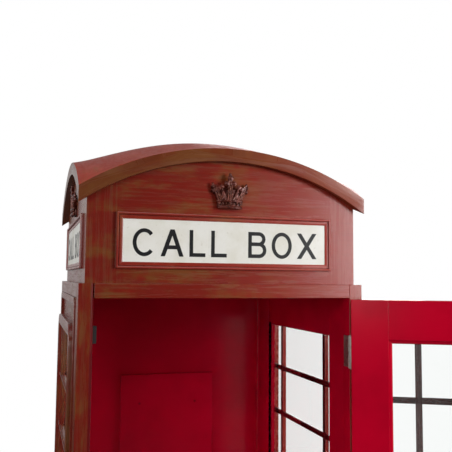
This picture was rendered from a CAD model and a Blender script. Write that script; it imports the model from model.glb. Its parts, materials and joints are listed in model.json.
import json
import math

import bmesh
import bpy
from mathutils import Matrix, Vector

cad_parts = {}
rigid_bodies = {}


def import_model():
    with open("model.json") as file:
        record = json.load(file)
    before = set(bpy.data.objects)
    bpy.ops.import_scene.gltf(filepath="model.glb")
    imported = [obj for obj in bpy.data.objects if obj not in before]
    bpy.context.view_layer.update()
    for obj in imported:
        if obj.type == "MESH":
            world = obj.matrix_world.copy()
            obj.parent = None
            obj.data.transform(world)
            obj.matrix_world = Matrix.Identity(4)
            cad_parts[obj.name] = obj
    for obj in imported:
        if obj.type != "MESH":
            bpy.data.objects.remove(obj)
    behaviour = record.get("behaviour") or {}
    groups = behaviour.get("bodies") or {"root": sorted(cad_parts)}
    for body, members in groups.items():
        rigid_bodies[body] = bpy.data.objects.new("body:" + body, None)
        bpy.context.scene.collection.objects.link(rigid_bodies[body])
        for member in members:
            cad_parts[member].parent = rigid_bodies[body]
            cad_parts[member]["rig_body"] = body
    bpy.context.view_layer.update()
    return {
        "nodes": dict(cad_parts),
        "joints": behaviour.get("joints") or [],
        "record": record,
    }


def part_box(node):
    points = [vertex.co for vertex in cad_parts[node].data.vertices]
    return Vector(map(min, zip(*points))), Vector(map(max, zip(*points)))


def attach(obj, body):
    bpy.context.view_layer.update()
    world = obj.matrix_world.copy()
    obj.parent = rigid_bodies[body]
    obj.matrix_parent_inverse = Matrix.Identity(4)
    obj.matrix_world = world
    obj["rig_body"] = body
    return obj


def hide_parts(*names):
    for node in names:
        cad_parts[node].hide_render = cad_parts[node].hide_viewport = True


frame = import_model()

# The telephone booth's looks, built around its CAD frame. Metres, +Z up, doorway towards -Y.

MM = 0.001
SIDE_TURN = {"front": 0, "right": 90, "back": 180, "left": -90}

# Places read from the frame
half_body = -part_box("post_front_left")[0].x
half_pediment = -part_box("pediment_front")[0].y
frame_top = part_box("lintel_front")[1].z
door_joint = frame["joints"][0]
hinge = Vector(door_joint["pos_m"])
open_angle = -math.radians(door_joint["range_deg"][0])
door_along = Vector((math.cos(open_angle), math.sin(open_angle), 0))
door_inward = Vector((-math.sin(open_angle), math.cos(open_angle), 0))

# The camera stands to the left of the doorway, level with the lintel, and looks up a little
CAMERA_PLACE = (-0.58435, -2.28170, 2.01093)
CAMERA_YAW, CAMERA_PITCH, CAMERA_ROLL = 17.3, 4.73, 0.52
CAMERA_LENS, CAMERA_SENSOR = 50.165, 36.0


def srgb(*channels):
    """A display colour, three channels of 0 to 255, as the linear colour that a shader takes."""
    shares = [value / 255 for value in channels]
    linear = [share / 12.92 if share <= 0.04045 else ((share + 0.055) / 1.055) ** 2.4 for share in shares]
    return (*linear, 1.0)


def darker(colour, share):
    """A linear colour dimmed to a share of itself."""
    return tuple(channel * share for channel in colour[:3]) + (1.0,)


# ---- materials


class Nodes:
    """A node tree under construction, with short calls to add and link shader nodes."""

    def __init__(self, tree):
        self.tree = tree

    def add(self, kind, sockets=None, **settings):
        """Adds a node. sockets maps an input's name or number to a value or to a socket."""
        node = self.tree.nodes.new("ShaderNode" + kind)
        for name, value in settings.items():
            setattr(node, name, value)
        for key, value in (sockets or {}).items():
            self.feed(node.inputs[key], value)
        return node

    def feed(self, socket, value):
        """Links a socket to another one, or sets its value."""
        if isinstance(value, bpy.types.NodeSocket):
            self.tree.links.new(value, socket)
        else:
            socket.default_value = value

    def math(self, operation, a, b=0.0):
        return self.add("Math", {0: a, 1: b}, operation=operation).outputs[0]

    def times(self, a, b):
        return self.math("MULTIPLY", a, b)

    def ramp(self, value, low, high, start=0.0, end=1.0, curve="SMOOTHSTEP"):
        """Maps low..high onto start..end, smoothly or as curve says, and holds the ends."""
        sockets = {0: value, 1: low, 2: high, 3: start, 4: end}
        return self.add("MapRange", sockets, interpolation_type=curve).outputs[0]

    def blend(self, factor, a, b):
        """Mixes two numbers."""
        return self.add("Mix", {0: factor, 2: a, 3: b}).outputs[0]

    def mix(self, factor, a, b):
        """Mixes two colours."""
        return self.add("Mix", {0: factor, 6: a, 7: b}, data_type="RGBA").outputs[2]

    def seen_directly(self):
        """1 for what the camera sees, through glass or not, and 0 for light that bounces."""
        path = self.add("LightPath").outputs
        return self.math("MAXIMUM", path["Is Camera Ray"], path["Is Transmission Ray"])


class Shade(Nodes):
    """A material under construction."""

    def __init__(self, name):
        self.material = bpy.data.materials.new(name)
        self.material.use_nodes = True
        super().__init__(self.material.node_tree)
        self.bsdf = self.tree.nodes["Principled BSDF"]

    def set(self, **values):
        """Sets the shader's own inputs. An underscore in a name stands for a space."""
        for name, value in values.items():
            self.feed(self.bsdf.inputs[name.replace("_", " ")], value)

    def position(self):
        return self.add("TexCoord").outputs["Object"]

    def stretched(self, vector, scale):
        return self.add("Mapping", {"Vector": vector, "Scale": scale}).outputs[0]

    def noise(self, vector, scale, detail=4.0, roughness=0.55, distortion=0.0):
        sockets = {"Vector": vector, "Scale": scale, "Detail": detail, "Roughness": roughness}
        return self.add("TexNoise", {**sockets, "Distortion": distortion}).outputs[0]

    def grain(self, fineness, scale, detail, roughness, distortion=0.0):
        """Noise drawn out along a board's grain, and finer across it by a factor."""
        wood = self.add("Attribute", attribute_name="wood").outputs["Vector"]
        vector = self.stretched(wood, (1.0, fineness, fineness))
        return self.noise(vector, scale, detail, roughness, distortion)

    def edges(self, radius):
        """1 on an arris, falling to 0 on a flat face."""
        rounded = self.add("Bevel", {"Radius": radius}, samples=6).outputs[0]
        flat = self.add("NewGeometry").outputs["Normal"]
        dot = self.add("VectorMath", {0: rounded, 1: flat}, operation="DOT_PRODUCT").outputs["Value"]
        return self.math("SUBTRACT", 1.0, dot)

    def crevices(self, distance):
        """1 in a corner or a groove, falling to 0 in the open."""
        open_share = self.add("AmbientOcclusion", {"Distance": distance}, samples=8).outputs["AO"]
        return self.math("SUBTRACT", 1.0, open_share)

    def bump(self, height, strength, distance):
        sockets = {"Height": height, "Strength": strength, "Distance": distance}
        return self.add("Bump", sockets).outputs[0]


def beside_sign(shade, across, along_wall):
    """1 on a pediment's two ends, where the glaze was brushed upright, and 0 elsewhere."""
    is_pediment = shade.add("Attribute", attribute_name="pediment").outputs["Fac"]
    reach = shade.math("MINIMUM", shade.math("ABSOLUTE", across), shade.math("ABSOLUTE", along_wall))
    return shade.times(is_pediment, shade.ramp(reach, 0.31, 0.37))


def patina(name, red, glaze, cover, gloss, right_cover=0.25, smooth=0.195, grime=0.9):
    """Brushed red paint under a rubbed brown glaze that lies in streaks along the timber. The paint is
    darker towards the booth's left, and faded with less glaze towards its right. cover is how far the
    glaze spreads, right_cover its share at the right, smooth the least roughness and grime the
    corners' darkness."""
    shade = Shade(name)
    place = shade.position()
    axes = shade.add("SeparateXYZ", {0: place}).outputs
    clouds = shade.grain(2.6, 6.5, 4.0, 0.6, 0.3)
    along = shade.grain(15.0, 5.5, 6.0, 0.68, 0.3)
    bristles = shade.grain(30.0, 16.0, 3.0, 0.65)
    upright = shade.noise(shade.stretched(place, (34.0, 34.0, 1.3)), 4.0, 5.0, 0.62, 0.2)
    streaks = shade.blend(beside_sign(shade, axes["X"], axes["Y"]), along, upright)
    mottle = shade.noise(place, 34.0, 5.0, 0.7)
    spread = shade.blend(0.25, shade.blend(0.45, clouds, streaks), mottle)

    left = shade.ramp(axes["X"], -0.15, 0.36, 1.0, right_cover)
    bare, covered = 0.51 - cover * 0.09, 0.68 - cover * 0.09
    base = shade.mix(shade.times(shade.ramp(spread, bare, covered, 0.0, 0.85), left), red, glaze)
    shadow = shade.times(shade.ramp(clouds, 0.64, 0.4, 0.0, 0.6), left)
    base = shade.mix(shadow, base, darker(red, 0.68))
    base = shade.mix(shade.ramp(axes["X"], -0.46, 0.1, 0.2, 0.0), base, srgb(20, 6, 4))
    base = shade.mix(shade.ramp(axes["X"], -0.08, 0.46, 0.0, 0.3), base, srgb(184, 70, 60))
    base = shade.mix(shade.ramp(bristles, 0.50, 0.76, 0.0, 0.35), base, srgb(70, 24, 15))

    broken = shade.ramp(shade.noise(place, 60.0, 3.0), 0.38, 0.62)
    worn = shade.times(shade.ramp(shade.edges(2.2 * MM), 0.03, 0.22), broken)
    base = shade.mix(shade.times(worn, 0.22), base, srgb(160, 92, 64))
    dirt = shade.ramp(shade.crevices(24 * MM), 0.42, 0.85, 0.0, grime)
    base = shade.mix(dirt, base, srgb(40, 10, 8))
    relief = shade.math("ADD", shade.times(bristles, 0.6), shade.times(streaks, 0.4))
    shade.set(
        Base_Color=base,
        Roughness=shade.ramp(streaks, 0.3, 0.7, smooth, smooth + 0.13),
        Normal=shade.bump(relief, 0.1, 0.8 * MM),
        Specular_IOR_Level=gloss,
    )
    return shade.material


def gloss_paint(name, colour):
    """Gloss paint with faint brush marks and a slight orange peel."""
    shade = Shade(name)
    marks = shade.grain(22.0, 9.0, 3.0, 0.6)
    peel = shade.noise(shade.position(), 150.0, 2.0)
    cloud = shade.noise(shade.position(), 3.5)
    base = shade.mix(shade.ramp(cloud, 0.35, 0.65), darker(colour, 0.8), colour)
    worn = shade.ramp(shade.edges(1.6 * MM), 0.03, 0.2, 0.0, 0.06)
    base = shade.mix(worn, base, srgb(222, 110, 116))
    dirt = shade.ramp(shade.crevices(18 * MM), 0.45, 0.9, 0.0, 0.7)
    base = shade.mix(dirt, base, srgb(34, 2, 5))
    relief = shade.math("ADD", shade.times(marks, 0.7), shade.times(peel, 0.3))
    shade.set(
        Base_Color=base,
        Roughness=shade.ramp(marks, 0.3, 0.7, 0.17, 0.2),
        Normal=shade.bump(relief, 0.012, 0.6 * MM),
        Specular_IOR_Level=0.18,
    )
    return shade.material


def opal_sign():
    """An off-white acrylic panel, yellowed in clouds and grimed along its frame."""
    shade = Shade("aged_opal")
    place = shade.position()
    cloud = shade.noise(place, 9.0, 5.0, 0.6)
    specks = shade.noise(place, 85.0, 3.0, 0.7)
    base = shade.mix(shade.ramp(cloud, 0.4, 0.68, 0.0, 0.55), srgb(231, 229, 222), srgb(212, 208, 192))
    base = shade.mix(shade.ramp(specks, 0.6, 0.74, 0.0, 0.35), base, srgb(170, 160, 138))
    grime = shade.ramp(shade.crevices(16 * MM), 0.25, 0.8, 0.0, 0.6)
    base = shade.mix(grime, base, srgb(132, 114, 92))
    shade.set(
        Base_Color=base,
        Roughness=shade.ramp(cloud, 0.3, 0.7, 0.28, 0.42),
        Normal=shade.bump(specks, 0.05, 0.3 * MM),
    )
    return shade.material


def sign_black():
    """The lettering's black enamel, thin in places."""
    shade = Shade("sign_black")
    place = shade.position()
    thin = shade.ramp(shade.noise(place, 70.0, 4.0, 0.7), 0.56, 0.74, 0.0, 0.5)
    base = shade.mix(thin, srgb(18, 18, 20), srgb(58, 54, 52))
    shade.set(Base_Color=base, Roughness=shade.ramp(thin, 0.0, 0.5, 0.4, 0.6), Specular_IOR_Level=0.3)
    return shade.material


def ornament_metal():
    """Dark brown casting with its high spots rubbed bright."""
    shade = Shade("ornament_bronze")
    place = shade.position()
    mottle = shade.noise(place, 60.0, 5.0, 0.65)
    base = shade.mix(shade.ramp(mottle, 0.35, 0.65), srgb(64, 18, 12), srgb(100, 36, 22))
    grime = shade.ramp(shade.crevices(7 * MM), 0.5, 0.9, 0.0, 0.9)
    high = shade.ramp(shade.edges(3.6 * MM), 0.012, 0.13)
    rubbed = shade.times(high, shade.ramp(shade.noise(place, 160.0, 3.0), 0.35, 0.6))
    base = shade.mix(shade.times(rubbed, 0.75), base, srgb(198, 128, 98))
    base = shade.mix(grime, base, srgb(24, 8, 7))
    shade.set(
        Base_Color=base,
        Roughness=shade.ramp(mottle, 0.3, 0.7, 0.2, 0.36),
        Normal=shade.bump(mottle, 0.25, 0.5 * MM),
        Metallic=0.35,
    )
    return shade.material


def metal(name, colour, roughness, tarnish):
    """Satin metal, brushed upwards, with tarnish in its corners."""
    shade = Shade(name)
    place = shade.position()
    brushing = shade.noise(shade.stretched(place, (1.0, 1.0, 0.06)), 900.0, 2.0)
    stain = shade.ramp(shade.noise(place, 45.0, 5.0, 0.65), 0.45, 0.7, 0.0, 0.75)
    base = shade.mix(stain, colour, tarnish)
    base = shade.mix(shade.ramp(shade.crevices(6 * MM), 0.35, 0.85, 0.0, 0.8), base, tarnish)
    shade.set(
        Base_Color=base,
        Roughness=shade.ramp(brushing, 0.3, 0.7, roughness, roughness + 0.14),
        Normal=shade.bump(brushing, 0.06, 0.2 * MM),
        Metallic=1.0,
    )
    return shade.material


def window_glass():
    """Clear glass with a thin film of dust towards its edges."""
    shade = Shade("window_glass")
    place = shade.position()
    film = shade.ramp(shade.noise(place, 7.0, 5.0, 0.6), 0.4, 0.75, 0.0, 0.05)
    tint = shade.mix(film, (0.97, 0.99, 0.98, 1.0), (0.86, 0.85, 0.82, 1.0))
    shade.set(Base_Color=tint, Roughness=film, Transmission_Weight=1.0, IOR=1.45)
    return shade.material


def black_plastic():
    """Matt moulded plastic with a fine grain."""
    shade = Shade("black_plastic")
    grain = shade.noise(shade.position(), 700.0, 2.0)
    base = shade.mix(shade.ramp(grain, 0.3, 0.7), srgb(20, 20, 21), srgb(34, 33, 33))
    shade.set(Base_Color=base, Roughness=0.55, Normal=shade.bump(grain, 0.2, 0.2 * MM))
    return shade.material


def floor_boarding():
    """Dark stained plywood, scuffed."""
    shade = Shade("floor_ply")
    rings = shade.grain(9.0, 6.0, 6.0, 0.6, 1.2)
    scuffs = shade.noise(shade.position(), 11.0, 6.0, 0.7)
    base = shade.mix(shade.ramp(rings, 0.35, 0.65), srgb(74, 46, 30), srgb(122, 82, 54))
    base = shade.mix(shade.ramp(scuffs, 0.55, 0.8, 0.0, 0.5), base, srgb(140, 118, 98))
    shade.set(
        Base_Color=base,
        Roughness=shade.ramp(scuffs, 0.3, 0.7, 0.42, 0.65),
        Normal=shade.bump(rings, 0.15, 0.4 * MM),
    )
    return shade.material


exterior_paint = patina("patina_red_paint", srgb(137, 33, 21), srgb(121, 73, 33), cover=1.0, gloss=0.5)
fascia_paint = patina(
    "patina_fascia_paint", srgb(126, 46, 24), srgb(116, 70, 34), cover=2.1, gloss=0.5, right_cover=0.85
)
roof_paint = patina(
    "patina_roof_paint", srgb(186, 60, 38), srgb(160, 80, 44), cover=0.4, gloss=0.22, smooth=0.3
)
moulding_paint = patina(
    "patina_moulding_paint", srgb(156, 44, 32), srgb(138, 76, 42), cover=0.8, gloss=0.6, grime=0.5
)
jamb_paint = patina("patina_jamb_paint", srgb(112, 18, 24), srgb(100, 44, 30), cover=0.5, gloss=0.06)
crimson_paint = gloss_paint("gloss_crimson_paint", srgb(194, 0, 38))
opal = opal_sign()
lettering_paint = sign_black()
bronze = ornament_metal()
steel = metal("hinge_steel", srgb(176, 172, 166), 0.3, srgb(96, 78, 62))
brass = metal("handle_brass", srgb(190, 148, 84), 0.26, srgb(92, 66, 38))
glass = window_glass()
plastic = black_plastic()
plywood = floor_boarding()


# ---- timber in meshes


def store_wood(mesh, place):
    """Stores every vertex's place in its own board: along the grain, across it and through it."""
    attribute = mesh.attributes.get("wood") or mesh.attributes.new("wood", "FLOAT_VECTOR", "POINT")
    for vertex, entry in zip(mesh.vertices, attribute.data):
        entry.vector = place(vertex.co)


def straight_grain(along, seed):
    """Wood places for a straight board whose grain runs along a direction."""
    along = Vector(along).normalized()
    across = along.cross(Vector((0, 0, 1)))
    across = across.normalized() if across.length > 0.1 else Vector((1, 0, 0))
    through = along.cross(across)
    shift = board_shift(seed)
    return lambda co: Vector((co.dot(along), co.dot(across), co.dot(through))) + shift


def board_shift(seed):
    """Moves a board to its own part of the paint's streaks. Seeds only tell the boards apart."""
    return Vector((seed * 1.37 % 7.0, seed * 0.73 % 5.0, seed * 0.41 % 3.0))


def arc_of(low, high, half):
    """Centre height and radius of the arc through a fascia's two lower corners and its lower middle."""
    rise = high - low
    radius = (half * half + rise * rise) / (2 * rise)
    return high - radius, radius


def bent_grain(side, centre_z, radius, seed):
    """Wood places for a board bent along the arc over one side."""
    back = Matrix.Rotation(-math.radians(SIDE_TURN[side]), 4, "Z")
    shift = board_shift(seed)

    def place(co):
        flat = back @ co
        reach = math.hypot(flat.x, flat.z - centre_z)
        angle = math.atan2(flat.x, flat.z - centre_z)
        return Vector((radius * angle, reach, flat.y)) + shift

    return place


def repaint(obj, outside, inside, faces_in):
    """Gives an object two materials: the inside one on the faces that faces_in picks."""
    only_material(obj, outside)
    obj.data.materials.append(inside)
    for polygon in obj.data.polygons:
        polygon.material_index = int(faces_in(polygon.center, polygon.normal))


def only_material(obj, material):
    obj.data.materials.clear()
    obj.data.materials.append(material)


def in_cabin(centre, normal):
    """Picks the faces of the booth that look into the cabin or the doorway."""
    inside = half_body - 1.5 * MM
    if abs(centre.x) > inside or abs(centre.y) > inside or centre.z > frame_top - 1 * MM:
        return False
    inwards_x = -normal.x if centre.x > 0 else normal.x
    inwards_y = -normal.y if centre.y > 0 else normal.y
    return max(inwards_x, inwards_y) > 0.9 or abs(normal.z) > 0.7


def door_inside(centre, normal):
    """Picks all faces of the door but its outer one."""
    return normal.dot(door_inward) > -0.8


class Boards:
    """Collects closed boards into one mesh, each with its own grain."""

    def __init__(self):
        self.mesh = bmesh.new()
        self.wood = self.mesh.verts.layers.float_vector.new("wood")
        self.count = 0

    def add(self, points, faces, along, seed):
        """Adds a closed shape from its points and faces."""
        place = straight_grain(along, seed + self.count)
        self.count += 1
        verts = []
        for point in points:
            vert = self.mesh.verts.new(point)
            vert[self.wood] = place(Vector(point))
            verts.append(vert)
        for face in faces:
            self.mesh.faces.new([verts[i] for i in face])

    def object(self, name, body, matrix, slot):
        """Turns what was collected into an object that rides on a body."""
        bmesh.ops.transform(self.mesh, matrix=matrix, verts=self.mesh.verts)
        bmesh.ops.recalc_face_normals(self.mesh, faces=self.mesh.faces)
        return new_object(name, self.mesh, body)


def new_object(name, builder, body, sharp_from=32):
    """Makes an object of a bmesh, riding on a body, with edges over an angle in degrees kept sharp."""
    mesh = bpy.data.meshes.new(name)
    builder.to_mesh(mesh)
    builder.free()
    mesh.polygons.foreach_set("use_smooth", [True] * len(mesh.polygons))
    mesh.set_sharp_from_angle(angle=math.radians(sharp_from))
    obj = bpy.data.objects.new(name, mesh)
    bpy.context.scene.collection.objects.link(obj)
    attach(obj, body)
    return obj


def side_matrix(side):
    return Matrix.Rotation(math.radians(SIDE_TURN[side]), 4, "Z")


def door_matrix():
    """Takes a piece made with the door shut to where the door stands open."""
    turn = Matrix.Rotation(open_angle, 4, "Z")
    return Matrix.Translation(hinge) @ turn @ Matrix.Translation(-hinge)


CORNER_STEPS = 5  # in half a corner's arc
SHARPEST_CORNER = 0.2 * MM
MITRE_JOINT = 0.25 * MM  # how far a member stays back from its mitre


def corner_path(half_x, half_z, radius, member):
    """One member's share of a rounded rectangle: from the middle of one corner to the next one's."""
    corners = ((1, 1), (-1, 1), (-1, -1), (1, -1))
    path = []
    for index, start in ((member, 45), ((member + 1) % 4, 0)):
        sign_x, sign_z = corners[index]
        for step in range(CORNER_STEPS + 1):
            angle = math.radians(90 * index + start + 45 * step / CORNER_STEPS)
            x = sign_x * (half_x - radius) + radius * math.cos(angle)
            z = sign_z * (half_z - radius) + radius * math.sin(angle)
            path.append((x, z))
    return path


def moulding(boards, middle_z, half, border, base, profile, corner, seed):
    """A mitred frame. profile lists (edge, offset, height): edge 0 measures from the frame's
    outer edge and 1 from its inner edge, offset runs inwards, height stands off the base plane."""
    directions = ((-1, 0), (0, -1), (1, 0), (0, 1))
    for member, (along_x, along_z) in enumerate(directions):
        points = []
        for edge, offset, height in profile:
            half_x = half[0] - edge * border[0] - offset
            half_z = half[1] - edge * border[1] - offset
            radius = max(corner * (1 - edge) - offset, SHARPEST_CORNER)
            path = corner_path(half_x, half_z, radius, member)
            pulls = [MITRE_JOINT] + [0.0] * (len(path) - 2) + [-MITRE_JOINT]
            for pull, (x, z) in zip(pulls, path):
                points.append((x + along_x * pull, -(base + height), middle_z + z + along_z * pull))
        length, rows = len(path), len(profile)
        faces = []
        for row in range(rows):
            other = (row + 1) % rows
            for step in range(length - 1):
                a, b = row * length + step, other * length + step
                faces.append((a, a + 1, b + 1, b))
        faces.append([row * length for row in range(rows)])
        faces.append([row * length + length - 1 for row in reversed(range(rows))])
        boards.add(points, faces, (along_x, 0, along_z), seed)


def refined(node, name, bevel, place, keep=lambda edge: True):
    """A copy of a CAD board with its arrises rounded, which stands for the board.
    keep may pick fewer of the arrises."""
    source = frame["nodes"][node]
    flat, sharp = math.radians(0.4), math.radians(30)
    mesh = bmesh.new()
    mesh.from_mesh(source.data)
    bmesh.ops.remove_doubles(mesh, verts=mesh.verts, dist=0.01 * MM)
    bmesh.ops.dissolve_limit(mesh, angle_limit=flat, verts=mesh.verts, edges=mesh.edges)
    arrises = [e for e in mesh.edges if e.is_manifold and e.calc_face_angle(0.0) > sharp and keep(e)]
    bmesh.ops.bevel(
        mesh, geom=arrises, offset=bevel, segments=3, affect="EDGES", profile=0.5, clamp_overlap=True
    )
    obj = new_object(name, mesh, source["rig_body"])
    store_wood(obj.data, place)
    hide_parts(node)
    return obj


def slot_of(node):
    """The record's material slot of a CAD node."""
    return next(part["material_slot"] for part in frame["record"]["subparts"] if part["node"] == node)


# ---- the frame's own boards

Z_GRAIN, X_GRAIN, Y_GRAIN = (0, 0, 1), (1, 0, 0), (0, 1, 0)


def paint_node(node, along, seed, outside, inside=None, faces_in=in_cabin):
    """Keeps a CAD board as it is, with a grain and one or two paints."""
    obj = frame["nodes"][node]
    store_wood(obj.data, straight_grain(along, seed))
    if inside:
        repaint(obj, outside, inside, faces_in)
    else:
        only_material(obj, outside)


def frame_boards():
    """The posts, rails, floor, back and door members, which keep their CAD shape."""
    seed = 1
    for y_name in ("front", "back"):
        for x_name in ("left", "right"):
            paint_node(f"post_{y_name}_{x_name}", Z_GRAIN, seed, exterior_paint, crimson_paint)
            seed += 1
    dull_rounded_jamb()
    for node, along in (
        ("lintel_front", X_GRAIN),
        ("top_rail_back", X_GRAIN),
        ("top_rail_left", Y_GRAIN),
        ("top_rail_right", Y_GRAIN),
        ("back_panel", Z_GRAIN),
        ("ceiling_panel", X_GRAIN),
    ):
        paint_node(node, along, seed, exterior_paint, crimson_paint)
        seed += 1
    paint_node("threshold", X_GRAIN, seed + 2, exterior_paint)
    paint_node("telephone_backboard", Z_GRAIN, seed, crimson_paint)
    paint_node("floor_panel", X_GRAIN, seed + 1, plywood)
    for node, along in (
        ("door_hinge_stile", Z_GRAIN),
        ("door_latch_stile", Z_GRAIN),
        ("door_top_rail", door_along),
        ("door_bottom_rail", door_along),
    ):
        seed += 2
        paint_node(node, along, seed, exterior_paint, crimson_paint, door_inside)


def dull_rounded_jamb():
    """Gives the rounded arris of the post that the door latches at a duller paint."""
    mesh = frame["nodes"]["post_front_left"].data
    mesh.materials.append(jamb_paint)
    turned = 0.12  # how far a face of the arris is turned from both of the post's flat faces
    for polygon in mesh.polygons:
        if polygon.normal.x > turned and polygon.normal.y < -turned:
            polygon.material_index = len(mesh.materials) - 1


FASCIA_ARRIS, WALL_ARRIS = 2.2 * MM, 0.8 * MM


def roof_boards():
    """The pediments, fascias and roof skin."""
    for index, side in enumerate(SIDE_TURN):
        along = X_GRAIN if side in ("front", "back") else Y_GRAIN
        paint_node(f"pediment_{side}", along, 40 + index, exterior_paint)
        mark_pediment(frame["nodes"][f"pediment_{side}"].data)
        outward = side_matrix(side) @ Vector((0, -1, 0))
        board = refined(
            f"fascia_{side}",
            f"fascia_board_{side}",
            FASCIA_ARRIS,
            bent_grain(side, *fascia_arc(side), 50 + index),
            lambda edge: outer_arris(edge, outward),
        )
        repaint(board, fascia_paint, roof_paint, lambda centre, normal: normal.z > 0.5)
    paint_node("roof_skin", Y_GRAIN, 60, roof_paint)


def mark_pediment(mesh):
    """Lets the paint know a pediment, where the glaze was brushed upright beside the sign."""
    attribute = mesh.attributes.new("pediment", "FLOAT", "POINT")
    for entry in attribute.data:
        entry.value = 1.0


def outer_arris(edge, outward):
    """Picks the edges between a fascia's outer face and its top and bottom, and leaves its mitres."""
    facing = [face.normal.dot(outward) for face in edge.link_faces]
    return max(facing) > 0.99 and all(value > 0.99 or abs(value) < 0.3 for value in facing)


def fascia_arc(side):
    """Centre height and radius of a fascia's lower arc, from the board's own points."""
    across = 0 if side in ("front", "back") else 1
    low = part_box(f"fascia_{side}")[0].z
    points = [v.co for v in frame["nodes"][f"fascia_{side}"].data.vertices]
    middle = min(p.z for p in points if abs(p[across]) < 15 * MM)
    return arc_of(low, middle, max(p[across] for p in points))


frame_boards()
roof_boards()

# ---- walls and door


def upright_span(box):
    """A box's middle height and half its height."""
    return (box[0].z + box[1].z) / 2, (box[1].z - box[0].z) / 2


glass_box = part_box("window_glass_left")
half_window = glass_box[1].y
window_middle, half_window_height = upright_span(glass_box)
surround_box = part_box("side_surround_left")
surround_middle, half_surround_height = upright_span(surround_box)
casing_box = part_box("window_frame_left")
casing_border = (casing_box[1].y - half_window, casing_box[1].z - glass_box[1].z)
SURROUND_BAND, SURROUND_CORNER = 22 * MM, 25 * MM
CASING_CORNER = 70 * MM
FIELD_RECESS = 5.5 * MM
DOOR_CASING_PROUD = 10 * MM
DOOR_GLASS_DEPTH = 16 * MM  # from the door's outer face to its glass
GLASS_THICK = 4 * MM
BAR_DEPTH, BAR_WIDTH, MARGIN_PANE, PANE_ROWS = 18 * MM, 20 * MM, 80 * MM, 8
BEAD = 12 * MM
PLINTH_TIMBER = 100 * MM


def eased_profile(height, round_outer, round_inner):
    """A flat band's section: a rounded outer arris and a smaller inner one."""
    points = [(0, 0.0, 0.0)]
    for edge, radius, angles in ((0, round_outer, (0, 30, 60, 90)), (1, -round_inner, (90, 60, 30, 0))):
        for angle in angles:
            reach = radius * (1 - math.cos(math.radians(angle)))
            drop = abs(radius) * (1 - math.sin(math.radians(angle)))
            points.append((edge, reach, height - drop))
    points.append((1, 0.0, 0.0))
    return points


def casing_profile(height):
    """A window casing's section: rounded outside, flat, a quirk, and an ovolo down to the opening."""
    rounded_outside = eased_profile(height, 3 * MM, 1 * MM)[:5]
    ovolo, quirk, foot = 7 * MM, 2 * MM, 2.2 * MM
    points = rounded_outside + [(1, -ovolo - quirk, height), (1, -ovolo - quirk, height - 1.2 * MM)]
    for angle in (90, 65, 40, 15):
        reach = ovolo * math.cos(math.radians(angle))
        rise = (height - 4 * MM) * math.sin(math.radians(angle))
        points.append((1, -ovolo + reach, foot + rise))
    points.append((1, 0.0, 0.0))
    return points


def bead_profile():
    """A glazing bead's section: square at the wood and the glass, rounded towards the room."""
    radius, square = BEAD * 0.8, BEAD * 0.2
    points = [(0, 0.0, 0.0), (0, 0.0, BEAD)]
    for angle in (90, 60, 30, 0):
        reach = square + radius * math.cos(math.radians(angle))
        points.append((0, reach, square + radius * math.sin(math.radians(angle))))
    points.append((0, BEAD, 0.0))
    return points


def bar_section():
    """A glazing bar's section, (across, outwards): a square back, a hollow each side and a nose."""
    half, nose, step = BAR_WIDTH / 2, 3 * MM, 1.5 * MM
    section = [(-half, 0.0), (-half, 4 * MM)]
    for angle in (0, 30, 60, 90):
        reach = (half - nose - step) * math.sin(math.radians(angle))
        rise = (BAR_DEPTH - 7 * MM) * (1 - math.cos(math.radians(angle)))
        section.append((-half + step + reach, 5 * MM + rise))
    section += [(-nose, BAR_DEPTH - 0.6 * MM), (-nose + 0.6 * MM, BAR_DEPTH)]
    return section + [(-x, h) for x, h in reversed(section)]


def add_bars(boards, base, seed):
    """Moulded glazing bars, their wide backs on the glass at base, standing outwards."""
    section = bar_section()
    rows = len(section)
    faces = [(i, (i + 1) % rows, (i + 1) % rows + rows, i + rows) for i in range(rows)]
    faces += [tuple(reversed(range(rows))), tuple(range(rows, 2 * rows))]
    upright = half_window - MARGIN_PANE - BAR_WIDTH / 2
    low, high = window_middle - half_window_height, window_middle + half_window_height
    for x in (-upright, upright):
        points = [(x + dx, -(base + h), z) for z in (low, high) for dx, h in section]
        boards.add(points, faces, Z_GRAIN, seed)
    for row in range(1, PANE_ROWS):
        z = low + (high - low) * row / PANE_ROWS
        points = [(x, -(base + h), z + dz) for x in (-half_window, half_window) for dz, h in section]
        boards.add(points, faces, X_GRAIN, seed)


def side_wall(side, seed):
    """A side wall's members, band, casing, bars and beads."""
    matrix = side_matrix(side)
    upright, level = straight_grain(Z_GRAIN, seed), straight_grain(Y_GRAIN, seed + 1)
    wall = refined(
        f"side_wall_{side}",
        f"wall_members_{side}",
        WALL_ARRIS,
        lambda co: upright(co) if abs(co.y) > half_window + 1 * MM else level(co),
    )
    inner_face = -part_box("side_wall_left")[1].x + 1 * MM
    repaint(wall, exterior_paint, crimson_paint, lambda centre, normal: abs(centre.x) < inner_face)

    band = Boards()
    add_band(band, seed + 10)
    finish_boards(band, f"wall_band_{side}", "booth", matrix, f"side_surround_{side}", exterior_paint)

    casing = Boards()
    field_face = half_body - FIELD_RECESS
    add_casing(casing, field_face, -casing_box[0].x - field_face, seed + 20)
    finish_boards(casing, f"window_casing_{side}", "booth", matrix, f"window_frame_{side}", exterior_paint)

    bars = Boards()
    add_bars(bars, -glass_box[0].x, seed + 30)
    finish_boards(bars, f"glazing_lattice_{side}", "booth", matrix, f"glazing_bars_{side}", exterior_paint)


def add_band(boards, seed):
    """The raised band round a wall's field."""
    height = -surround_box[0].x - half_body
    profile = eased_profile(height, 2 * MM, 2 * MM)
    half = (surround_box[1].y, half_surround_height)
    border = (SURROUND_BAND, SURROUND_BAND)
    moulding(boards, surround_middle, half, border, half_body, profile, SURROUND_CORNER, seed)


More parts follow.
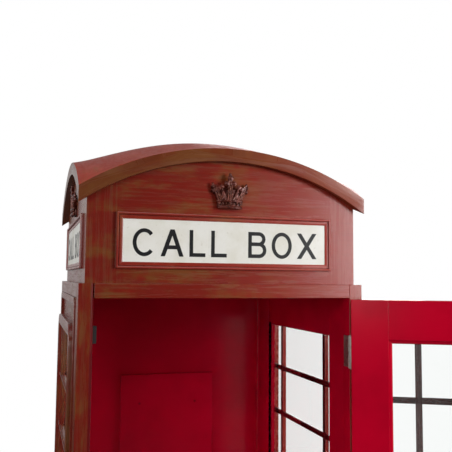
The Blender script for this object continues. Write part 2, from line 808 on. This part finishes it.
def add_casing(boards, base, height, seed):
    """The mitred casing round a window."""
    profile = casing_profile(height)
    half = (casing_box[1].y, upright_span(casing_box)[1])
    moulding(boards, window_middle, half, casing_border, base, profile, CASING_CORNER, seed)


def finish_boards(boards, name, body, matrix, node, material):
    """Closes a set of boards into the piece that stands for a CAD node."""
    obj = boards.object(name, body, matrix, slot_of(node))
    obj.data.materials.append(material)
    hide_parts(node)


def wall_beads():
    """The beads inside both side windows, as one piece."""
    whole = bmesh.new()
    for seed, side in ((120, "left"), (130, "right")):
        beads = Boards()
        add_beads(beads, -glass_box[1].x, seed)
        bmesh.ops.transform(beads.mesh, matrix=side_matrix(side), verts=beads.mesh.verts)
        part = bpy.data.meshes.new("beads")
        beads.mesh.to_mesh(part)
        beads.mesh.free()
        whole.from_mesh(part)
        bpy.data.meshes.remove(part)
    bmesh.ops.recalc_face_normals(whole, faces=whole.faces)
    obj = new_object("window_beads", whole, "booth")
    obj.data.materials.append(crimson_paint)
    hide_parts("side_glazing_beads")


def add_beads(boards, glass_face, seed):
    """Mitred beads whose backs are on the glass, standing inwards."""
    half = (half_window, half_window_height)
    profile = [(edge, offset, -height) for edge, offset, height in bead_profile()]
    moulding(boards, window_middle, half, (BEAD, BEAD), glass_face, profile, 0.0, seed)


def door_pieces():
    """The door's casing, bars and beads, made shut and turned open."""
    matrix = door_matrix()
    glass_face = half_body - DOOR_GLASS_DEPTH
    casing = Boards()
    add_casing(casing, half_body, DOOR_CASING_PROUD, 210)
    finish_boards(casing, "door_casing", "door", matrix, "door_window_frame", exterior_paint)
    bars = Boards()
    add_bars(bars, glass_face, 220)
    finish_boards(bars, "door_lattice", "door", matrix, "door_glazing_bars", exterior_paint)
    beads = Boards()
    add_beads(beads, glass_face - GLASS_THICK, 230)
    finish_boards(beads, "door_beads", "door", matrix, "door_glazing_beads", crimson_paint)


def plinth():
    """The plinth's four timbers, each with its own grain."""
    lengthwise, crosswise = straight_grain(X_GRAIN, 300), straight_grain(Y_GRAIN, 301)
    timbers = frame["nodes"]["base_plinth"]
    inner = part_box("base_plinth")[1].y - PLINTH_TIMBER
    store_wood(timbers.data, lambda co: lengthwise(co) if abs(co.y) > inner else crosswise(co))
    only_material(timbers, exterior_paint)


for wall_seed, wall_side in ((70, "left"), (90, "right")):
    side_wall(wall_side, wall_seed)
back_band = Boards()
add_band(back_band, 150)
finish_boards(back_band, "wall_band_back", "booth", side_matrix("back"), "back_surround", exterior_paint)
wall_beads()
door_pieces()
plinth()

# ---- signs

sign_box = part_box("sign_frame_front")
sign_face = -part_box("sign_panel_front")[0].y
sign_middle, half_sign_height = upright_span(sign_box)
MOULDING_WIDTH = 20 * MM
MOULDING_LIP = 16.8 * MM  # from its outer edge to where it meets the pediment
PANEL_GAP = 0.05 * MM  # between the moulding's lip and the panel
CAP_HEIGHT, STROKE, LETTER_GAP = 81.0, 11.4, 18.0  # millimetres, as for all the letters' outlines
ROUND_OVERSHOOT = 1.0  # how far a round letter passes the others at its top and foot
LETTER_RISE = 0.5 * MM
LETTER_DROP = 5 * MM  # the word sits a little below the panel's middle


def sign_moulding(side, seed):
    """The frame round a sign: a rounded bead, a quirk, a flat and a lip over the panel."""
    bead = ((0.0, 0.0), (0.0, 7.6), (0.9, 9.8), (2.6, 10.9), (5.0, 10.9), (6.9, 9.6), (7.8, 7.4))
    quirk_and_flat = ((8.2, 3.4), (9.6, 3.4), (10.2, 5.6), (18.6, 6.0), (20.0, 5.2))
    lip = sign_face - half_pediment + PANEL_GAP
    profile = [(0, offset * MM, height * MM) for offset, height in bead + quirk_and_flat]
    profile += [(0, MOULDING_WIDTH, lip), (0, MOULDING_LIP, lip), (0, MOULDING_LIP, 0.0)]
    boards = Boards()
    half = (sign_box[1].x, half_sign_height)
    border = (MOULDING_WIDTH, MOULDING_WIDTH)
    moulding(boards, sign_middle, half, border, half_pediment, profile, 3 * MM, seed)
    node, matrix = f"sign_frame_{side}", side_matrix(side)
    finish_boards(boards, f"sign_moulding_{side}", "booth", matrix, node, moulding_paint)


def arc_points(centre, reach, start, end, steps=14):
    """Points on an ellipse's arc, in degrees."""
    points = []
    for step in range(steps + 1):
        angle = math.radians(start + (end - start) * step / steps)
        points.append((centre[0] + reach[0] * math.cos(angle), centre[1] + reach[1] * math.sin(angle)))
    return points


def letter_a(width):
    foot = STROKE * 1.15
    lean = (width - foot) / 2 / CAP_HEIGHT
    low, high = STROKE * 1.9, STROKE * 2.9
    left_half = [(0, 0), (foot, 0), (foot + lean * low, low)]
    right_half = [(width - x, z) for x, z in reversed(left_half)]
    top = [((width + foot) / 2, CAP_HEIGHT), ((width - foot) / 2, CAP_HEIGHT)]
    peak = (width / 2, (width / 2 - foot) / lean)
    hole = [(foot + lean * high, high), (width - foot - lean * high, high), peak]
    return [left_half + right_half + top, hole]


def letter_b(width):
    waist = CAP_HEIGHT * 0.53
    lower = (waist + STROKE / 2) / 2
    upper = (CAP_HEIGHT - waist + STROKE / 2) / 2
    low_centre = (width - lower, lower)
    top_centre = (width * 0.95 - upper, CAP_HEIGHT - upper)
    low_bowl = arc_points(low_centre, (lower, lower), -90, 51)
    top_bowl = arc_points(top_centre, (upper, upper), -49, 90)
    holes = []
    for centre, bowl in ((low_centre, lower - STROKE), (top_centre, upper - STROKE)):
        arc = arc_points(centre, (bowl, bowl), -90, 90)
        holes.append([(STROKE, centre[1] - bowl), *arc, (STROKE, centre[1] + bowl)])
    return [[(0, 0), *low_bowl, *top_bowl, (0, CAP_HEIGHT)], *holes]


def letter_c(width):
    centre = (width * 0.52, CAP_HEIGHT / 2)
    outer = (width * 0.52, CAP_HEIGHT / 2 + ROUND_OVERSHOOT)
    inner = (outer[0] - STROKE, outer[1] - STROKE)
    return [arc_points(centre, outer, 42, 318, 30) + arc_points(centre, inner, 318, 42, 30)]


def letter_l(width):
    return [[(0, 0), (width, 0), (width, STROKE), (STROKE, STROKE), (STROKE, CAP_HEIGHT), (0, CAP_HEIGHT)]]


def letter_o(width):
    centre = (width / 2, CAP_HEIGHT / 2)
    outer = (width / 2, CAP_HEIGHT / 2 + ROUND_OVERSHOOT)
    inner = (outer[0] - STROKE, outer[1] - STROKE)
    return [arc_points(centre, reach, 0, 352, 44) for reach in (outer, inner)]


def letter_x(width):
    wide = STROKE * 1.28
    fork = (width / 2 - wide) * CAP_HEIGHT / (width - wide)
    foot = [(0, 0), (wide, 0), (width / 2, fork), (width - wide, 0), (width, 0)]
    head = [(x, CAP_HEIGHT - z) for x, z in reversed(foot)]
    waist = [((width + wide) / 2, CAP_HEIGHT / 2), ((width - wide) / 2, CAP_HEIGHT / 2)]
    return [[*foot, waist[0], *head, waist[1]]]


SPACE = None
LETTERS = (letter_c, letter_a, letter_l, letter_l, SPACE, letter_b, letter_o, letter_x)
LETTER_WIDTHS = (66, 70, 50, 50, 34, 60, 68, 68)


def sign_word(side):
    """The plain word on a sign, as thin raised letters with square corners."""
    curve = bpy.data.curves.new("word", "CURVE")
    curve.dimensions = "2D"
    curve.fill_mode = "BOTH"
    curve.extrude = LETTER_RISE / 2
    x = -(sum(LETTER_WIDTHS) + LETTER_GAP * (len(LETTERS) - 1)) / 2
    for outline, width in zip(LETTERS, LETTER_WIDTHS):
        for loop in outline(width) if outline else ():
            spline = curve.splines.new("POLY")
            spline.points.add(len(loop) - 1)
            for point, (px, pz) in zip(spline.points, loop):
                point.co = ((x + px) * MM, (pz - CAP_HEIGHT / 2) * MM, 0, 1)
            spline.use_cyclic_u = True
        x += width + LETTER_GAP
    mesh = finished_mesh(bpy.data.objects.new("word", curve))
    bpy.data.curves.remove(curve)
    place = Matrix.Translation((0, -sign_face - LETTER_RISE / 2, sign_middle - LETTER_DROP))
    mesh.transform(side_matrix(side) @ place @ Matrix.Rotation(math.radians(90), 4, "X"))
    mesh.materials.append(lettering_paint)
    obj = bpy.data.objects.new(f"sign_word_{side}", mesh)
    bpy.context.scene.collection.objects.link(obj)
    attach(obj, "booth")


def finished_mesh(draft):
    """The mesh that a draft object comes to with its modifiers. The draft is removed."""
    bpy.context.scene.collection.objects.link(draft)
    bpy.context.view_layer.update()
    mesh = bpy.data.meshes.new_from_object(draft.evaluated_get(bpy.context.evaluated_depsgraph_get()))
    bpy.data.objects.remove(draft)
    return mesh


for sign_seed, sign_side in enumerate(SIDE_TURN):
    sign_moulding(sign_side, 160 + 5 * sign_seed)
    sign_word(sign_side)
    only_material(frame["nodes"][f"sign_panel_{sign_side}"], opal)

# ---- ornaments

# The coronet is drawn in millimetres from the middle of its foot
FOOT_REACH, TOP_REACH, FLARE_HEIGHT = 37, 61, 75  # half its width at the foot and at this height
BOW, STAND_OFF = 13, 4  # how far it bows out in the middle, and stands off the wall at its sides
BAND_TOP = 23
LEAVES = ((-29, -53, 77, 0.95), (0, 0, 107, 1.15), (29, 53, 77, 0.95))  # root x, tip x, tip z, size


def ball(balls, x, z, out, radius):
    """A ball on the coronet's bowed front, or a distance out from it."""
    flare = FOOT_REACH + (TOP_REACH - FOOT_REACH) * max(z / FLARE_HEIGHT, 0) ** 1.2
    bow = STAND_OFF + BOW * math.sqrt(max(1 - (x / (flare + 3)) ** 2, 0))
    balls.append((Vector((x, -(bow + out), z)), radius))


def coronet_band(balls):
    """The round band: three rims, a row of jewels between them, and a cap behind the points."""
    rims = ((4, 37, 0.5, 3.9), (10, 36, -1.5, 2.2), (23.5, 40, 0.0, 3.1))
    for z, reach, out, radius in rims:
        for step in range(-26, 27):
            ball(balls, reach * math.sin(math.radians(step * 3.3)), z, out, radius)
    for step in range(-4, 5):
        x = 38 * math.sin(math.radians(step * 19))
        ball(balls, x, 16.5, -0.4, 4.0 if step % 2 == 0 else 2.6)
    for z in range(6, 62, 4):
        reach = 32 + max(z - 24, 0) * 0.36
        for step in range(-12, 13):
            ball(balls, reach * step / 12, z, -10.0, 4.8)


def rosette(balls, x, z, radius):
    """A domed lobe with a raised edge and a round middle."""
    ball(balls, x, z, -2.2, radius * 0.8)
    ball(balls, x, z, 1.4, radius * 0.42)
    reach = radius * 0.72
    for step in range(12):
        angle = math.radians(30 * step)
        ball(balls, x + reach * math.cos(angle), z + reach * math.sin(angle), 0.4, radius * 0.3)


def leaf(balls, root_x, tip_x, tip_z, size):
    """A stem with raised edges that ends in three lobes and a bud."""
    lean, rise = tip_x - root_x, tip_z - BAND_TOP
    length = math.hypot(lean, rise)
    across = (rise / length, -lean / length)

    def stem_ball(share, aside, out, radius):
        x, z = root_x + lean * share, BAND_TOP + rise * share
        ball(balls, x + across[0] * aside, z + across[1] * aside, out, radius)

    for step in range(21):
        share = step / 20 * 0.85
        half = size * (6.5 - 3.0 * share)
        for side in range(-4, 5):
            stem_ball(share, half * side / 4, -3.0, 2.6)
        for side in (-1, 1):
            stem_ball(share, side * half, 0.8, 2.0)
        stem_ball(share, 0, 1.4, 1.9)
    lobes, aside = 0.66, 10.5 * size
    for side in (-1, 1):
        x = root_x + lean * lobes + side * across[0] * aside
        rosette(balls, x, BAND_TOP + rise * lobes + side * across[1] * aside, 7.2 * size)
    rosette(balls, tip_x, tip_z - 10 * size, 8.4 * size)
    ball(balls, tip_x + lean * 0.06, tip_z, -1.5, 4.2 * size)


def pearled_points(balls):
    """The two lower points between the leaves, with a pearl on each."""
    for side in (-1, 1):
        for step in range(13):
            share = step / 12
            half = 6.0 * (1 - share) + 1.0
            for edge in (-1, 0, 1):
                x = side * (15 + 11 * share) + edge * half
                ball(balls, x, BAND_TOP + 38 * share, 0.6 - 1.6 * abs(edge), 2.3)
        rosette(balls, side * 27, 68, 7.2)


def ball_surfaces(balls):
    """The points and faces of all the balls, in metres."""
    template = bmesh.new()
    bmesh.ops.create_icosphere(template, subdivisions=2, radius=1.0)
    shape = [vert.co.copy() for vert in template.verts]
    sides = [[vert.index for vert in face.verts] for face in template.faces]
    template.free()
    foot = Vector((0, -half_pediment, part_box("coronets")[0].z))
    points, faces = [], []
    for centre, radius in balls:
        first = len(points)
        points += [foot + (centre + corner * radius) * MM for corner in shape]
        faces += [[first + index for index in side] for side in sides]
    return points, faces


def coronets():
    """All four ornaments as one piece: each coronet is fused and smoothed into a casting."""
    balls = []
    coronet_band(balls)
    for points in LEAVES:
        leaf(balls, *points)
    pearled_points(balls)
    points, faces = ball_surfaces(balls)
    source = bpy.data.meshes.new("coronet")
    source.from_pydata(points, [], faces)
    single = bpy.data.objects.new("coronet", source)
    fuse = single.modifiers.new("fuse", "REMESH")
    fuse.mode = "VOXEL"
    fuse.voxel_size = 1.0 * MM
    soften = single.modifiers.new("soften", "SMOOTH")
    soften.factor, soften.iterations = 0.5, 2
    cast = finished_mesh(single)
    whole = bmesh.new()
    for side in SIDE_TURN:
        copy = cast.copy()
        copy.transform(side_matrix(side))
        whole.from_mesh(copy)
        bpy.data.meshes.remove(copy)
    trim_to_walls(whole)
    obj = new_object("coronet_castings", whole, "booth", sharp_from=80)
    obj.data.materials.append(bronze)
    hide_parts("coronets")


def trim_to_walls(mesh):
    """Flattens the castings' backs just inside the pediments' faces."""
    back = half_pediment - 1 * MM
    for vert in mesh.verts:
        outwards = 0 if abs(vert.co.x) > abs(vert.co.y) else 1
        if abs(vert.co[outwards]) < back:
            vert.co[outwards] = math.copysign(back, vert.co[outwards])


coronets()

# ---- glass and metalwork

HINGE_NODES = ("hinge_post_leaves", "hinge_door_leaves", "hinge_pins", "hinge_post_screws")
FITTINGS = {
    glass: ("window_glass_left", "window_glass_right", "door_glass"),
    steel: (*HINGE_NODES, "door_screws", "door_catch_plate"),
    plastic: ("door_catch",),
    brass: ("door_handle",),
}
for fitting_material, fitting_nodes in FITTINGS.items():
    for fitting in fitting_nodes:
        only_material(frame["nodes"][fitting], fitting_material)

# ---- stage, light and camera


def stage_floor():
    """A floor that fades into the white surroundings. It looks pale but gives little light back,
    so the booth's undersides stay dark."""
    mesh = bmesh.new()
    bmesh.ops.create_circle(mesh, cap_ends=True, segments=96, radius=14)
    data = bpy.data.meshes.new("studio_floor")
    mesh.to_mesh(data)
    mesh.free()
    floor = bpy.data.objects.new("studio_floor", data)
    bpy.context.scene.collection.objects.link(floor)
    shade = Shade("studio_floor")
    place = shade.position()
    reach = shade.add("VectorMath", {0: place}, operation="LENGTH").outputs["Value"]
    grain = shade.noise(place, 30.0, 3.0)
    seen = shade.seen_directly()
    pale = shade.mix(shade.ramp(grain, 0.3, 0.7), srgb(228, 228, 227), srgb(233, 233, 232))
    shade.set(Base_Color=shade.mix(seen, srgb(96, 92, 90), pale), Roughness=0.8)
    glow = shade.add("Emission", {"Color": (1, 1, 1, 1), "Strength": 1.0}).outputs[0]
    fade = shade.times(shade.ramp(reach, 2.0, 5.5), seen)
    faded = shade.add("MixShader", {0: fade, 1: shade.bsdf.outputs[0], 2: glow}).outputs[0]
    shade.feed(shade.tree.nodes["Material Output"].inputs["Surface"], faded)
    data.materials.append(shade.material)


def surroundings():
    """White surroundings that light the booth from behind and above, and leave its front to the
    soft boxes."""
    world = bpy.data.worlds.new("studio")
    bpy.context.scene.world = world
    world.use_nodes = True
    sky = Nodes(world.node_tree)
    axes = sky.add("SeparateXYZ", {0: sky.add("TexCoord").outputs["Generated"]}).outputs
    behind = sky.ramp(axes["Y"], -0.15, 0.65, 0.03, 0.66, "LINEAR")
    level = sky.ramp(axes["Z"], -0.3, 0.15, 0.2, 1.0, "LINEAR")
    above = sky.ramp(axes["Z"], 0.1, 0.4, 1.0, 0.45, "LINEAR")
    lighting = sky.times(sky.times(behind, level), above)
    background = sky.tree.nodes["Background"].inputs
    background["Color"].default_value = (1, 1, 1, 1)
    sky.feed(background["Strength"], sky.blend(sky.seen_directly(), lighting, 1.0))


def soft_light(name, place, target, size, energy):
    """A rectangular soft box that faces a point."""
    data = bpy.data.lights.new(name, "AREA")
    data.shape = "RECTANGLE"
    data.size, data.size_y = size
    data.energy = energy
    lamp = bpy.data.objects.new(name, data)
    lamp.location = place
    lamp.rotation_mode = "QUATERNION"
    lamp.rotation_quaternion = (Vector(target) - Vector(place)).to_track_quat("-Z", "Y")
    bpy.context.scene.collection.objects.link(lamp)


def make_camera():
    """The camera at the reference view."""
    yaw, pitch, roll = (math.radians(angle) for angle in (CAMERA_YAW, CAMERA_PITCH, CAMERA_ROLL))
    forward = Vector((math.sin(yaw) * math.cos(pitch), math.cos(yaw) * math.cos(pitch), math.sin(pitch)))
    right = Vector((math.cos(yaw), -math.sin(yaw), 0))
    up = right.cross(forward)
    right, up = right * math.cos(roll) + up * math.sin(roll), up * math.cos(roll) - right * math.sin(roll)
    matrix = Matrix((right, up, -forward)).transposed().to_4x4()
    data = bpy.data.cameras.new("camera")
    data.lens, data.sensor_width = CAMERA_LENS, CAMERA_SENSOR
    camera = bpy.data.objects.new("camera", data)
    camera.matrix_world = Matrix.Translation(CAMERA_PLACE) @ matrix
    bpy.context.scene.collection.objects.link(camera)
    bpy.context.scene.camera = camera


stage_floor()
surroundings()
soft_light("key", place=(3.5, -3.7, 2.5), target=(0.3, -0.4, 2.1), size=(2.0, 1.8), energy=192)
soft_light("fill", place=(-2.5, -4.2, 3.0), target=(0.3, -0.4, 1.9), size=(2.8, 2.6), energy=76)
soft_light("side", place=(-4.4, 0.2, 2.6), target=(-0.4, 0.0, 2.0), size=(2.0, 2.0), energy=74)
soft_light("overhead", place=(0.0, -1.2, 5.4), target=(0.0, 0.0, 2.0), size=(3.0, 2.4), energy=40)
soft_light("back", place=(2.6, 4.6, 3.4), target=(0.0, 0.4, 1.5), size=(2.6, 2.2), energy=90)
make_camera()
bpy.context.scene.view_settings.view_transform = "Standard"
